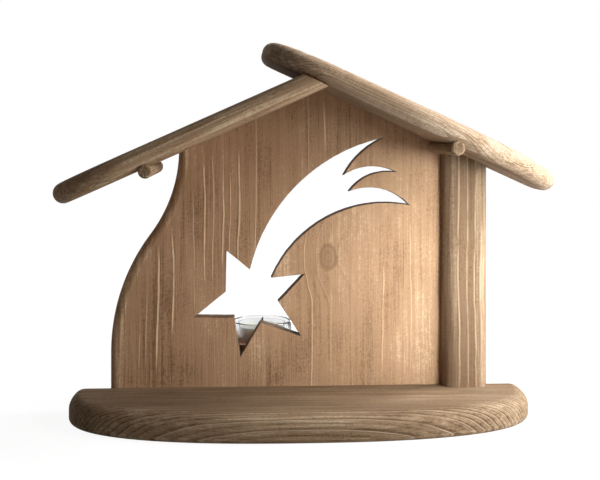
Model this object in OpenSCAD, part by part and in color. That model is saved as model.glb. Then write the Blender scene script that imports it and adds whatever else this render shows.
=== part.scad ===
// Wooden nativity stable: a rounded base board, a back wall with a comet cut out of it, a corner post,
// two pitched roof boards on round sticks, and a small shelf behind the comet that holds a tea light.
// Millimetres, +Z up. The origin is the middle of the base board, on the table. The wall is at the back (+Y).

/* [Base board] */
// Width of the base board
base_w = 346; // [330:1:380]
// Depth of the base board, from its front edge to the wall
base_d = 88.4; // [80:0.1:104]
// Thickness of the base board
base_t = 20; // [16:1:26]
// Distance of the board's widest place from its back edge
base_wide_y = 8.5; // [4:0.5:20]
// Squareness of the rounded front, where 2 is an ellipse
base_square_share = 2.45; // [2:0.05:3]
// Radius of the base board's upper edge
base_edge_r = 10; // [6:0.5:12]
// Radius of the base board's lower edge
base_foot_r = 4; // [2:0.5:6]

/* [Back wall] */
// Width of the wall at its foot
wall_w = 289; // [270:1:310]
// Thickness of the wall
wall_t = 14; // [12:1:18]
// Height of the wall's peak above the table
ridge_z = 247.1; // [236:0.1:262]
// Distance of the peak to the right of the wall's middle
ridge_x = 16.1; // [5:0.1:22]
// Distance of the waist, where the left edge is narrowest, from the wall's middle
waist_x = 92.4; // [86:0.1:98]
// Height at which the left edge starts to curve in
belly_z = 46.6; // [40:0.1:52]
// Radius of the left edge's lower, outward curve
belly_r = 150; // [140:1:165]
// Radius of the left edge's upper, inward curve
waist_r = 110; // [100:1:125]

/* [Roof] */
// Thickness of the roof boards, which is also the round of their edges
roof_t = 15; // [13:1:17]
// Pitch of the left roof board in degrees
left_pitch = 24; // [21:0.5:26]
// Pitch of the right roof board in degrees
right_pitch = 24.5; // [22:0.5:27]
// Reach of the roof boards in front of the wall
roof_front = 92; // [84:1:100]
// Length of the left board below the ridge, along its slope
left_reach = 210.5; // [200:0.5:220]
// Length of the right board below the ridge, along its slope
right_reach = 190; // [180:0.5:200]
// Length of the right board past the ridge, along its slope
ridge_reach = 52.5; // [44:0.5:62]
// Size of the left board's front corner, along the slope and across it
left_corner = [60, 50]; // [40:1:80]
// Size of the right board's front corner at its lower end
right_corner = [120, 80]; // [50:1:120]
// Size of the right board's front corner past the ridge
ridge_corner = [54, 48]; // [30:1:60]
// Radius of the roof boards' back corners
roof_back_r = 15; // [12:1:26]

/* [Corner post] */
// Width of the post
post_w = 35; // [30:1:42]
// Thickness of the post, in front of the wall
post_t = 12; // [10:1:16]
// Radius of the post's two front edges
post_edge_r = 10.5; // [4:0.5:11]

/* [Round sticks] */
// Diameter of the round sticks under the roof
stick_d = 10; // [8:0.5:12]
// Depth to which a stick is let into its roof board
stick_sink = 2.8; // [1.5:0.1:3.5]
// Distance of the left stick from the ridge, along the slope
left_stick_s = 139; // [130:1:150]
// Distance of the right stick's axis from the post's inner face, along the slope
stick_post_gap = 3.6; // [2:0.1:8]

/* [Comet] */
// Distance of the star's centre to the left of the wall's middle
star_x = 36.3; // [30:0.1:42]
// Height of the star's centre above the table
star_z = 88.7; // [84:0.1:94]
// Radius of the star's arms
star_tip_r = 45; // [40:0.5:50]
// Radius of the corners between the star's arms
star_corner_r = 20.5; // [18:0.5:23]
// Distance from the star's centre to the far tip of the tail
tail_reach = 157; // [148:1:160]

/* [Tea light] */
// Outer diameter of the glass cup
glass_d = 48; // [44:0.5:52]
// Height of the glass cup
glass_h = 24; // [21:0.5:32]
// Wall thickness of the glass cup
glass_wall = 2; // [1.5:0.1:3]
// Thickness of the glass cup's bottom
glass_floor = 3.5; // [2.5:0.1:5]
// Distance of the glass from the back of the wall
glass_gap_y = 7; // [5:0.5:14]
// Height of the shelf's top face above the table
shelf_z = 49.3; // [44:0.1:56]
// Thickness of the shelf
shelf_t = 18; // [15:0.5:22]
// Rim of wood round the recess of the shelf
shelf_rim = 7.5; // [6:0.5:12]
// Depth of the recess
recess_depth = 10; // [6:0.5:12]
// Diameter of the tea light
candle_d = 38; // [36:0.5:39]
// Height of the tea light's cup
candle_h = 19; // [14:0.5:19.5]
// Wall thickness of the tea light's cup
candle_wall = 0.6; // [0.4:0.1:0.8]
// Depth of the wax below the cup's rim
wax_drop = 3.4; // [2:0.1:5]
// Diameter of the wick
wick_d = 1.8; // [1.4:0.1:2.4]
// Height of the wick above the wax
wick_up = 8; // [5:0.5:11]
// Diameter of the wick's metal foot
clip_d = 13; // [10:0.5:16]

/* [Screws and pins] */
// Diameter of the wood screws
screw_d = 3.5; // [3:0.1:4]
// Diameter of the screw heads
screw_head_d = 7; // [6:0.1:8]
// Length of the screws that hold the base to the wall
base_screw_l = 35; // [28:1:45]
// Length of the screws that hold the post to the wall
post_screw_l = 22; // [18:0.5:23]
// Diameter of the wooden pins
pin_d = 6; // [5:0.5:7]
// Length of the pins that hold the roof boards
roof_pin_l = 24; // [20:0.5:26]
// Depth of the roof pins in the roof boards
roof_pin_in = 9; // [7:0.5:10]
// Length of the pins that hold the post and the shelf
short_pin_l = 20; // [16:0.5:22]

/* [Clearances] */
// Play of the glass in its recess, all round
recess_play = 0.5; // [0.3:0.1:1]
// Play of a screw or pin in its hole, all round
hole_play = 0.06; // [0.05:0.01:0.1]

/* [Hidden] */

// Overrun of every cut past the face that it opens
over = wall_t / 10;
// Smallest slice of a hull
slice_t = base_t / 2000;
// Reach of the cuts that trim a whole piece
trim = 2 * base_w;

// Faces of the wall, front and back, and the ends of the roof boards
wall_front = base_d / 2;
wall_back = wall_front + wall_t;
wall_mid = wall_front + wall_t / 2;
roof_front_y = wall_front - roof_front;
roof_depth = roof_front + wall_t;

// Centres of the two curves of the wall's left edge, which meet at one tangent
belly_cx = belly_r - wall_w / 2;
waist_cx = -waist_x - waist_r;
curve_dx = belly_cx - waist_cx;
curve_dz = sqrt(pow(belly_r + waist_r, 2) - pow(curve_dx, 2));
waist_z = belly_z + curve_dz;
curve_turn = atan2(curve_dz, curve_dx);
curve_steps = 14;

// Star: angle and length share of each arm, and the angles of the corners between them. The tail leaves
// between the last corner and the first one.
star_arms = [[23, 0.96], [-39, 1.06], [-101, 1.02], [-161, 1.02], [-241, 0.9]];
star_corners = [44, -11, -71, -131, -191, -266];

// Tail: the ends of its curves as shares of its reach, and the radius share of each curve, where a
// curve of positive radius turns to the right
tail_tip_shares = [[0.634, 0.774], [0.703, 0.611], [0.772, 0.448]];
tail_notch_shares = [[0.449, 0.593], [0.476, 0.513]];
tail_radius_shares = [0.856, -0.415, 0.258, -0.237, 0.27, -0.612];
tail_steps = 12;

// Tea light: its axis, and where the glass and the candle in it stand
tea_x = -28;
glass_r = glass_d / 2;
tea_y = wall_back + glass_gap_y + glass_r;
glass_z = shelf_z - recess_depth;
candle_z = glass_z + glass_floor;
candle_r = candle_d / 2;
wax_h = candle_h - candle_wall - wax_drop;
shelf_r = glass_r + recess_play + shelf_rim;
clip_t = candle_wall / 2;
clip_tube_r = wick_d / 2 + clip_t;
clip_tube_h = wax_h / 3;

// Right stick: its distance from the ridge, along the slope
right_stick_s = (wall_w / 2 - post_w - ridge_x) / cos(right_pitch) - stick_post_gap;

// Screws: the head, the point and the cross recess
screw_r = screw_d / 2;
head_r = screw_head_d / 2;
head_h = head_r - screw_r;
screw_point = 2 * screw_d;
cross_w = screw_d / 4;
cross_l = 1.1 * screw_d;
base_screw_reach = wall_w / 2 - post_w;
base_screw_shares = [-1, -0.33, 0.33, 1];
post_screw_shares = [0.22, 0.8];

// Pins: places along the slopes as shares of the boards' lengths, and beside the shelf's recess
pin_r = pin_d / 2;
pin_bevel = pin_d / 10;
left_pin_shares = [0.2, 0.5];
right_pin_shares = [0.24, 0.64];
shelf_pin_x = shelf_r - pin_d;
shelf_pin_z = shelf_z - shelf_t / 2 - pin_d / 3;

wood = "#8a6a4f";
dark_wood = "#6f5440";
light_wood = "#9b7a5c";
steel = "#a8a8a2";

function left_z(x) = ridge_z - (ridge_x - x) * tan(left_pitch);
function right_z(x) = ridge_z - (x - ridge_x) * tan(right_pitch);
function polar(r, a) = [r * cos(a), r * sin(a)];

// Points along the arc from p towards q, without q. The centre lies to the right of the way for a
// positive radius and to the left for a negative one.
function arc_between(p, q, r, steps) =
    let (half = (q - p) / 2,
         side = [half[1], -half[0]] / norm(half),
         rise = sqrt(pow(r, 2) - pow(norm(half), 2)),
         centre = p + half + side * rise * sign(r),
         from = p - centre,
         turn = -2 * asin(norm(half) / r))
    [for (i = [0 : steps - 1])
        let (a = turn * i / steps)
        centre + [from[0] * cos(a) - from[1] * sin(a), from[0] * sin(a) + from[1] * cos(a)]];

// Frames of the two roof slopes: x runs along the slope to the right, z stands square to it, and the
// origin is the ridge, where the two undersides meet
module on_left_slope() {
    translate([ridge_x, 0, ridge_z])
        rotate([0, -left_pitch, 0])
            children();
}

module on_right_slope() {
    translate([ridge_x, 0, ridge_z])
        rotate([0, right_pitch, 0])
            children();
}

// Everything above the underside of the right roof board
module above_right_slope() {
    on_right_slope()
        translate([-trim, -trim, 0])
            cube([2 * trim, 2 * trim, trim]);
}

// A slab of thickness t with a rounded upper and lower edge. It stacks its child's outline, which draws
// itself smaller by $inset. Where the two rounds meet in the middle, they share one slice.
module rounded_slab(t, upper_r, lower_r) {
    step = 15;
    lower_end = upper_r + lower_r < t ? 0 : -step;
    hull() {
        for (a = [-90 : step : lower_end])
            let ($inset = lower_r * (1 - cos(a)))
                translate([0, 0, lower_r + (lower_r - slice_t) * sin(a)])
                    linear_extrude(slice_t)
                        children();
        for (a = [0 : step : 90])
            let ($inset = upper_r * (1 - cos(a)))
                translate([0, 0, t - upper_r + (upper_r - slice_t) * sin(a)])
                    linear_extrude(slice_t)
                        children();
    }
}

// A roof board's outline from x0 to x1, smaller by $inset. Its front corners are quarter ellipses of the
// sizes given, and its back corners are round.
module roof_outline(x0, x1, corner0, corner1) {
    back = [roof_back_r, roof_back_r];
    corners = [[x0, 1, 1, corner0, 270], [x1, -1, 1, corner1, 0], [x1, -1, -1, back, 90], [x0, 1, -1, back, 180]];
    polygon([for (c = corners, a = [0 : 6 : 90])
        let (size = c[3],
             middle = [c[0] + c[1] * size[0],
                 c[2] > 0 ? roof_front_y + size[1] : roof_front_y + roof_depth - size[1]],
             turn = c[4] - 90 + a)
        middle + [(size[0] - $inset) * cos(turn), (size[1] - $inset) * sin(turn)]]);
}

// The base board's outline, smaller by $inset: a squared ellipse, whose widest place lies near the back edge
module base_outline() {
    half_w = base_w / 2 - $inset;
    half_d = base_d - base_wide_y - $inset;
    power = 2 / base_square_share;
    points = [for (a = [0 : 5 : 355])
        [half_w * sign(cos(a)) * pow(abs(cos(a)), power),
         half_d * sign(sin(a)) * pow(abs(sin(a)), power)]];
    translate([0, wall_front - base_wide_y])
        polygon(points);
}

module wall_outline() {
    left_edge = concat(
        [[-wall_w / 2, 0]],
        [for (i = [0 : curve_steps])
            let (a = 180 - curve_turn * i / curve_steps)
            [belly_cx, belly_z] + polar(belly_r, a)],
        [for (i = [curve_steps - 1 : -1 : 0])
            let (a = -curve_turn * i / curve_steps)
            [waist_cx, waist_z] + polar(waist_r, a)],
        [[-waist_x, ridge_z]]);
    intersection() {
        polygon(concat(left_edge, [[wall_w / 2, ridge_z], [wall_w / 2, 0]]));
        polygon([[-wall_w, 0], [-wall_w, left_z(-wall_w)], [ridge_x, ridge_z],
            [wall_w, right_z(wall_w)], [wall_w, 0]]);
    }
}

module comet_outline() {
    corner = [for (a = star_corners) polar(star_corner_r, a)];
    tip = [for (arm = star_arms) polar(star_tip_r * arm[1], arm[0])];
    star = [for (i = [0 : len(tip) - 1], part = [0, 1]) part == 0 ? corner[i] : tip[i]];
    ends = tail_reach * [tail_tip_shares[0], tail_notch_shares[0], tail_tip_shares[1],
        tail_notch_shares[1], tail_tip_shares[2]];
    stops = concat([corner[len(corner) - 1]], ends, [corner[0]]);
    tail = [for (i = [0 : len(stops) - 2])
        each arc_between(stops[i], stops[i + 1], tail_reach * tail_radius_shares[i], tail_steps)];
    translate([-star_x, star_z])
        polygon(concat(star, tail));
}

// A wood screw along +Z, its head flush with z = 0. With a gap it is the hole for that screw.
module screw(length, gap) {
    rotate_extrude($fn = 32)
        polygon([[0, 0], [head_r + gap, 0], [screw_r + gap, head_h], [screw_r + gap, length - screw_point],
            [0, length + gap]]);
}

module driven_screw(length) {
    color(steel)
        difference() {
            screw(length, 0);
            for (turn = [0, 90])
                rotate(turn)
                    translate([-cross_l / 2, -cross_w / 2, -over])
                        cube([cross_l, cross_w, over + head_h]);
        }
}

module screw_hole(length) {
    screw(length, hole_play);
    translate([0, 0, -over])
        cylinder(r = head_r + hole_play, h = over, $fn = 32);
}

// A wooden pin along +Z from z = 0, with bevelled ends
module pin(length) {
    color(light_wood)
        rotate_extrude($fn = 32)
            polygon([[0, 0], [pin_r - pin_bevel, 0], [pin_r, pin_bevel], [pin_r, length - pin_bevel],
                [pin_r - pin_bevel, length], [0, length]]);
}

module pin_hole(length) {
    translate([0, 0, -hole_play])
        cylinder(r = pin_r + hole_play, h = length + 2 * hole_play, $fn = 32);
}

// Places of the screws and pins. Each puts its children's +Z along the screw or pin.
module at_base_screws() {
    for (share = base_screw_shares)
        translate([share * base_screw_reach, wall_back, base_t / 2])
            rotate([90, 0, 0])
                children();
}

module at_post_screws() {
    post_top = right_z(wall_w / 2);
    for (share = post_screw_shares)
        translate([(wall_w - post_w) / 2, wall_back, base_t + share * (post_top - base_t)])
            rotate([90, 0, 0])
                children();
}

module at_post_foot_pin() {
    translate([(wall_w - post_w) / 2, wall_front - post_t / 2, base_t - short_pin_l / 2])
        children();
}

module at_left_roof_pins() {
    for (share = left_pin_shares)
        on_left_slope()
            translate([-share * left_reach, wall_mid, roof_pin_in - roof_pin_l])
                children();
}

module at_right_roof_pins() {
    for (share = right_pin_shares)
        on_right_slope()
            translate([share * right_reach, wall_mid, roof_pin_in - roof_pin_l])
                children();
}

module at_shelf_pins() {
    for (side = [-1, 1])
        translate([tea_x + side * shelf_pin_x, wall_back - short_pin_l / 2, shelf_pin_z])
            rotate([-90, 0, 0])
                children();
}

// Axes of the two round sticks: y runs along the stick, from the front of the roof
module at_left_stick() {
    on_left_slope()
        translate([-left_stick_s, roof_front_y, stick_sink - stick_d / 2])
            rotate([-90, 0, 0])
                children();
}

module at_right_stick() {
    on_right_slope()
        translate([right_stick_s, roof_front_y, stick_sink - stick_d / 2])
            rotate([-90, 0, 0])
                children();
}

module stick(length) {
    bevel = stick_d / 12;
    color(dark_wood)
        rotate_extrude($fn = 48)
            polygon([[0, 0], [stick_d / 2 - bevel, 0], [stick_d / 2, bevel], [stick_d / 2, length - bevel],
                [stick_d / 2 - bevel, length], [0, length]]);
}

module stick_groove() {
    translate([0, 0, -over])
        cylinder(d = stick_d + 2 * hole_play, h = roof_depth + 2 * over, $fn = 48);
}

module base_board() {
    color(wood)
        difference() {
            intersection() {
                rounded_slab(base_t, base_edge_r, base_foot_r)
                    base_outline();
                translate([-trim, wall_front - trim, -over])
                    cube([2 * trim, trim, base_t + 2 * over]);
            }
            at_base_screws()
                screw_hole(base_screw_l);
            at_post_foot_pin()
                pin_hole(short_pin_l);
        }
}

module back_wall() {
    color(wood)
        difference() {
            translate([0, wall_back, 0])
                rotate([90, 0, 0])
                    linear_extrude(wall_t)
                        difference() {
                            wall_outline();
                            comet_outline();
                        }
            at_base_screws()
                screw_hole(base_screw_l);
            at_post_screws()
                screw_hole(post_screw_l);
            at_left_roof_pins()
                pin_hole(roof_pin_l);
            at_right_roof_pins()
                pin_hole(roof_pin_l);
            at_shelf_pins()
                pin_hole(short_pin_l);
        }
}

module corner_post() {
    color(light_wood)
        difference() {
            translate([wall_w / 2 - post_w, wall_front - post_t, base_t])
                linear_extrude(ridge_z - base_t)
                    intersection() {
                        square([post_w, post_t]);
                        union() {
                            translate([post_edge_r, 0])
                                square([post_w - 2 * post_edge_r, post_t]);
                            translate([0, post_edge_r])
                                square([post_w, post_t]);
                            for (x = [post_edge_r, post_w - post_edge_r])
                                translate([x, post_edge_r])
                                    circle(r = post_edge_r, $fn = 48);
                        }
                    }
            above_right_slope();
            at_right_stick()
                stick_groove();
            at_post_screws()
                screw_hole(post_screw_l);
            at_post_foot_pin()
                pin_hole(short_pin_l);
        }
}

module roof_board_left() {
    color(wood)
        difference() {
            on_left_slope()
                rounded_slab(roof_t, roof_t / 2, roof_t / 2)
                    roof_outline(-left_reach, ridge_reach, left_corner, ridge_corner);
            above_right_slope();
            at_left_stick()
                stick_groove();
            at_left_roof_pins()
                pin_hole(roof_pin_l);
        }
}

module roof_board_right() {
    color(wood)
        difference() {
            on_right_slope()
                rounded_slab(roof_t, roof_t / 2, roof_t / 2)
                    roof_outline(-ridge_reach, right_reach, ridge_corner, right_corner);
            at_right_stick()
                stick_groove();
            at_right_roof_pins()
                pin_hole(roof_pin_l);
        }
}

module roof_stick_left() {
    at_left_stick()
        stick(roof_depth);
}

module roof_stick_right() {
    at_right_stick()
        stick(roof_front);
}

module base_screws() {
    at_base_screws()
        driven_screw(base_screw_l);
}

module post_screws() {
    at_post_screws()
        driven_screw(post_screw_l);
}

module post_foot_pin() {
    at_post_foot_pin()
        pin(short_pin_l);
}

module roof_pins() {
    at_left_roof_pins()
        pin(roof_pin_l);
    at_right_roof_pins()
        pin(roof_pin_l);
}

module shelf_pins() {
    at_shelf_pins()
        pin(short_pin_l);
}

module candle_shelf() {
    color(dark_wood)
        difference() {
            translate([tea_x, tea_y, shelf_z - shelf_t])
                linear_extrude(shelf_t)
                    intersection() {
                        union() {
                            circle(r = shelf_r, $fn = 96);
                            translate([-shelf_r, wall_back - tea_y])
                                square([2 * shelf_r, tea_y - wall_back]);
                        }
                        translate([-shelf_r, wall_back - tea_y])
                            square([2 * shelf_r, tea_y - wall_back + shelf_r]);
                    }
            translate([tea_x, tea_y, glass_z])
                cylinder(r = glass_r + recess_play, h = recess_depth + over, $fn = 96);
            at_shelf_pins()
                pin_hole(short_pin_l);
        }
}

module candle_glass() {
    lip = glass_wall / 2;
    color("lightcyan", 0.4)
        translate([tea_x, tea_y, glass_z])
            rotate_extrude($fn = 96) {
                square([glass_r, glass_floor]);
                translate([glass_r - glass_wall, 0])
                    square([glass_wall, glass_h - lip]);
                translate([glass_r - lip, glass_h - lip])
                    circle(r = lip, $fn = 24);
            }
}

module tealight_cup() {
    color("whitesmoke", 0.5)
        translate([tea_x, tea_y, candle_z])
            difference() {
                cylinder(r = candle_r, h = candle_h, $fn = 96);
                translate([0, 0, candle_wall])
                    cylinder(r = candle_r - candle_wall, h = candle_h, $fn = 96);
            }
}

module tealight_wax() {
    color("ivory")
        translate([tea_x, tea_y, candle_z + candle_wall])
            difference() {
                cylinder(r = candle_r - candle_wall, h = wax_h, $fn = 96);
                translate([0, 0, -over])
                    cylinder(r = clip_d / 2 + hole_play, h = over + clip_t, $fn = 48);
                cylinder(r = clip_tube_r + hole_play, h = clip_tube_h + hole_play, $fn = 24);
                cylinder(r = wick_d / 2 + hole_play, h = wax_h + over, $fn = 24);
            }
}

module tealight_wick() {
    color("dimgray")
        translate([tea_x, tea_y, candle_z + candle_wall + clip_t])
            cylinder(d = wick_d, h = wax_h - clip_t + wick_up, $fn = 24);
}

module wick_foot() {
    color(steel)
        translate([tea_x, tea_y, candle_z + candle_wall]) {
            cylinder(d = clip_d, h = clip_t, $fn = 48);
            difference() {
                cylinder(r = clip_tube_r, h = clip_tube_h, $fn = 24);
                translate([0, 0, clip_t])
                    cylinder(r = wick_d / 2 + hole_play, h = clip_tube_h, $fn = 24);
            }
        }
}

base_board();
back_wall();
corner_post();
roof_board_left();
roof_board_right();
roof_stick_left();
roof_stick_right();
base_screws();
post_screws();
post_foot_pin();
roof_pins();
shelf_pins();
candle_shelf();
candle_glass();
tealight_cup();
tealight_wax();
tealight_wick();
wick_foot();
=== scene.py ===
# %% [markdown]
# # A wooden nativity stable
# The stable is a handful of softwood boards: a rounded base, a back wall with a comet sawn out of it,
# a corner post, two roof boards with soft round edges, and two round sticks under them. A tea light in a
# glass stands on a small shelf behind the comet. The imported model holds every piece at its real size.
# This script gives each board its rounded edges and its brushed, stained wood.

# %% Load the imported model
import math
from functools import partial, reduce

import bmesh
import bpy
from mathutils import Matrix, Vector, noise
from mathutils.geometry import delaunay_2d_cdt


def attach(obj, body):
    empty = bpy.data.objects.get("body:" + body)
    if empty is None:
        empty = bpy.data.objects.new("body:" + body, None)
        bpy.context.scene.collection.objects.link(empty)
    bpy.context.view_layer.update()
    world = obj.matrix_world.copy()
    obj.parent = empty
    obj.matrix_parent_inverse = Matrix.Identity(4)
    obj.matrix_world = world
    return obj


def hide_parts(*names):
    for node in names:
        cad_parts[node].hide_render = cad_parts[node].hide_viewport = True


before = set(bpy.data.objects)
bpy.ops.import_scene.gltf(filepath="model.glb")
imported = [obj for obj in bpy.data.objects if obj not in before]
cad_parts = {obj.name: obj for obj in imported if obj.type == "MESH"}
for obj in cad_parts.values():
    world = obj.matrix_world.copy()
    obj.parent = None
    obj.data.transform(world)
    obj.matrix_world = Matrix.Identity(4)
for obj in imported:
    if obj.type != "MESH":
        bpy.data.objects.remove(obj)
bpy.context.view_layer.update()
print("nodes:", len(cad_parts))

# %% [markdown]
# ## Camera, ground and light
# The photograph is taken with a long lens from a little left of the middle, at about the height of the
# stable's wall. Its upright lines stay parallel, so the camera looks level and its picture is shifted down
# instead of tilted.

# %% Camera
PICTURE_W, PICTURE_H = 600, 480
FOCAL_PX = 1100
HORIZON_PX = 130
SENSOR_MM = 36
CAMERA_PLACE = (-0.0444, -0.8006, 0.2168)
QUARTER = math.pi / 2
LOOK_TURN = math.radians(3.05)

camera_data = bpy.data.cameras.new("camera")
camera_data.sensor_width = SENSOR_MM
camera_data.lens = FOCAL_PX * SENSOR_MM / PICTURE_W
camera_data.shift_y = (HORIZON_PX - PICTURE_H / 2) / PICTURE_W
camera = bpy.data.objects.new("camera", camera_data)
camera.location = CAMERA_PLACE
camera.rotation_euler = (QUARTER, 0, -LOOK_TURN)
bpy.context.collection.objects.link(camera)
bpy.context.scene.camera = camera
print(f"lens {camera_data.lens:.1f} mm, shift {camera_data.shift_y:.3f}")

# %% [markdown]
# The ground, the world, the woods and the roof boards are all made of nodes, so a few helpers for nodes
# come first.

# %% Helpers for all kinds of nodes
def wire(tree, output, socket):
    tree.links.new(output, socket)


def feed(tree, value, socket):
    """Gives a socket its value: a number or a colour is set on it, and an output is wired to it."""
    if isinstance(value, (int, float, tuple)):
        socket.default_value = value
    else:
        wire(tree, value, socket)


def set_inputs(node, **values):
    """Sets a node's own inputs by name. An underscore stands for a space."""
    for name, value in values.items():
        node.inputs[name.replace("_", " ")].default_value = value


def math_node(tree, operation, *values):
    node = tree.nodes.new("ShaderNodeMath")
    node.operation = operation
    for value, socket in zip(values, node.inputs):
        feed(tree, value, socket)
    return node.outputs[0]


def add_sockets(tree, way, kind, *names, **values):
    """Adds sockets of one kind to a node group: first those without a starting value, then those with one."""
    new = partial(tree.interface.new_socket, in_out=way, socket_type="NodeSocket" + kind)
    for name in names:
        new(name)
    for name, value in values.items():
        new(name.replace("_", " ")).default_value = value


# %% [markdown]
# The ground is plain white. Its white glow only shows where it is seen directly, in a reflection or through
# glass. For all other rays it is a dull sheet, so it adds no light of its own, and it keeps a faint shadow
# under the stable. Away from the stable the glow grows to full white, so the ground runs into the white room
# without a horizon. The room is made in the same way: it looks white and gives only a little warm light.

# %% Ground and world
GROUND_REACH, GROUND_DROP = 6.0, 0.0002
SHADOW_NEAR, SHADOW_FAR, GLOW_NEAR = 0.2, 0.55, 0.93
SHADOW_TONE, GROUND_TONE = (0.12, 0.12, 0.12, 1), (0.45, 0.44, 0.43, 1)
ROOM_COLOUR, ROOM_STRENGTH = (1, 0.87, 0.74, 1), 0.1


def by_sight(tree, unseen, seen, end):
    """Sends one shader to the end node for rays that see it directly, and another for all the rest."""
    rays = tree.nodes.new("ShaderNodeLightPath").outputs
    direct = rays["Is Camera Ray"]
    for name in ("Is Glossy Ray", "Is Transmission Ray"):
        direct = math_node(tree, "MAXIMUM", direct, rays[name])
    choose = tree.nodes.new("ShaderNodeMixShader")
    for output, socket in zip((direct, unseen, seen), choose.inputs):
        wire(tree, output, socket)
    wire(tree, choose.outputs[0], tree.nodes.new(end).inputs["Surface"])


def ground_material():
    material = bpy.data.materials.new("white_ground")
    material.use_nodes = True
    tree = material.node_tree
    tree.nodes.clear()
    far = tree.nodes.new("ShaderNodeVectorMath")
    far.operation = "LENGTH"
    wire(tree, tree.nodes.new("ShaderNodeTexCoord").outputs["Object"], far.inputs[0])
    fade = tree.nodes.new("ShaderNodeMapRange")
    set_inputs(fade, From_Min=SHADOW_NEAR, From_Max=SHADOW_FAR, To_Min=GLOW_NEAR, To_Max=1.0)
    wire(tree, far.outputs["Value"], fade.inputs["Value"])
    sheet, plain = (tree.nodes.new("ShaderNodeBsdfDiffuse") for _ in range(2))
    set_inputs(sheet, Color=SHADOW_TONE)
    set_inputs(plain, Color=GROUND_TONE)
    glow = tree.nodes.new("ShaderNodeEmission")
    wire(tree, fade.outputs["Result"], glow.inputs["Strength"])
    both = tree.nodes.new("ShaderNodeAddShader")
    wire(tree, sheet.outputs[0], both.inputs[0])
    wire(tree, glow.outputs[0], both.inputs[1])
    by_sight(tree, plain.outputs[0], both.outputs[0], "ShaderNodeOutputMaterial")
    return material


ground_mesh = bpy.data.meshes.new("ground")
ground_corners = [(x * GROUND_REACH, y * GROUND_REACH, 0) for x, y in ((-1, -1), (1, -1), (1, 1), (-1, 1))]
ground_mesh.from_pydata(ground_corners, [], [(0, 1, 2, 3)])
ground = bpy.data.objects.new("ground", ground_mesh)
ground_mesh.materials.append(ground_material())
bpy.context.collection.objects.link(ground)
ground.location.z = -GROUND_DROP

world = bpy.data.worlds.new("white room")
bpy.context.scene.world = world
world.use_nodes = True
world.node_tree.nodes.clear()
room_light, white = (world.node_tree.nodes.new("ShaderNodeBackground") for _ in range(2))
set_inputs(room_light, Color=ROOM_COLOUR, Strength=ROOM_STRENGTH)
set_inputs(white, Color=(1, 1, 1, 1), Strength=1)
by_sight(world.node_tree, room_light.outputs[0], white.outputs[0], "ShaderNodeOutputWorld")
bpy.context.scene.view_settings.view_transform = "Standard"

# %% [markdown]
# The side lamp, the strongest one, stands at the right and above, so its light comes in under the right roof
# board and falls off towards the left, and the left part of the base lies in the roof's shade. The front lamp
# fills in from nearer the front, and the warmer wide lamp, farther away, lights the whole wall. Two weak lamps
# with narrow beams brighten the right part of the wall and the post, and a very small one behind the wall
# brightens the wax and its glass.

# %% Lamps
STAGE = (0.06, 0.0, 0.1)
WHITE, WARM = (1, 1, 1), (1, 0.94, 0.83)
PALE_BLUE, COOL, COOLER = (0.97, 1, 1), (0.92, 0.98, 1), (0.87, 0.98, 1)
LAMPS = (("side_lamp", (0.647, 0.072, 0.562), STAGE, 0.35, 9.8, 180, PALE_BLUE),
         ("front_lamp", (0.594, -0.25, 0.374), STAGE, 0.32, 4.3, 180, COOL),
         ("wide_lamp", (0.687, -0.627, 0.256), (-0.03, 0.0, 0.12), 0.4, 2.6, 180, WARM),
         ("beam_lamp", (0.36, -0.37, 0.15), (0.13, 0.02, 0.105), 0.15, 0.11, 38, COOLER),
         ("post_lamp", (0.33, -0.55, 0.16), (0.16, 0.03, 0.125), 0.12, 0.12, 26, COOLER),
         ("candle_lamp", (0.05, 0.2, 0.066), (-0.028, 0.089, 0.058), 0.03, 0.03, 30, WHITE))

for name, place, target, size, power, spread, colour in LAMPS:
    data = bpy.data.lights.new(name, "AREA")
    data.shape = "DISK"
    data.size = size
    data.energy = power
    data.color = colour
    data.spread = math.radians(spread)
    lamp = bpy.data.objects.new(name, data)
    lamp.location = place
    lamp.rotation_euler = (Vector(target) - Vector(place)).to_track_quat("-Z", "Y").to_euler()
    bpy.context.collection.objects.link(lamp)
print("lamps:", len(LAMPS))

# %% [markdown]
# ## Stained, brushed wood
# The boards are sawn from softwood, brushed along the grain and stained grey-brown. The rings of a log are
# nested tubes round its pith, so one pattern in space, the distance from a line that runs along the board,
# gives long lines on the faces and arcs on the ends, as in real timber. The hard part of each ring takes
# little stain and stands proud after brushing, so it is a thin pale ridge. Over the rings lie fine fibres,
# faint saw marks across the grain, clouds of stain, and paler wood where the edges are rubbed. It is one node
# group that every board's material uses with its own values.

# %% Helpers for patterns
def noise_node(tree, vector, scale, detail=2.0, rough=0.5):
    node = tree.nodes.new("ShaderNodeTexNoise")
    wire(tree, vector, node.inputs["Vector"])
    set_inputs(node, Scale=scale, Detail=detail, Roughness=rough)
    return node.outputs["Fac"]


def grain_noise(tree, vector, along, across, detail=2.0, rough=0.5, slant=0.0):
    """Noise with its own scales along the grain, the first axis, and across it, after a slant."""
    if slant:
        leaning = tree.nodes.new("ShaderNodeMapping")
        set_inputs(leaning, Rotation=(0, 0, slant))
        wire(tree, vector, leaning.inputs["Vector"])
        vector = leaning.outputs[0]
    stretched = tree.nodes.new("ShaderNodeMapping")
    set_inputs(stretched, Scale=(along, across, across))
    wire(tree, vector, stretched.inputs["Vector"])
    return noise_node(tree, stretched.outputs[0], 1.0, detail, rough)


def mix_colour(tree, factor, a, b):
    node = tree.nodes.new("ShaderNodeMix")
    node.data_type = "RGBA"
    for value, socket in zip((factor, a, b), (node.inputs[0], node.inputs[6], node.inputs[7])):
        feed(tree, value, socket)
    return node.outputs[2]


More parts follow.
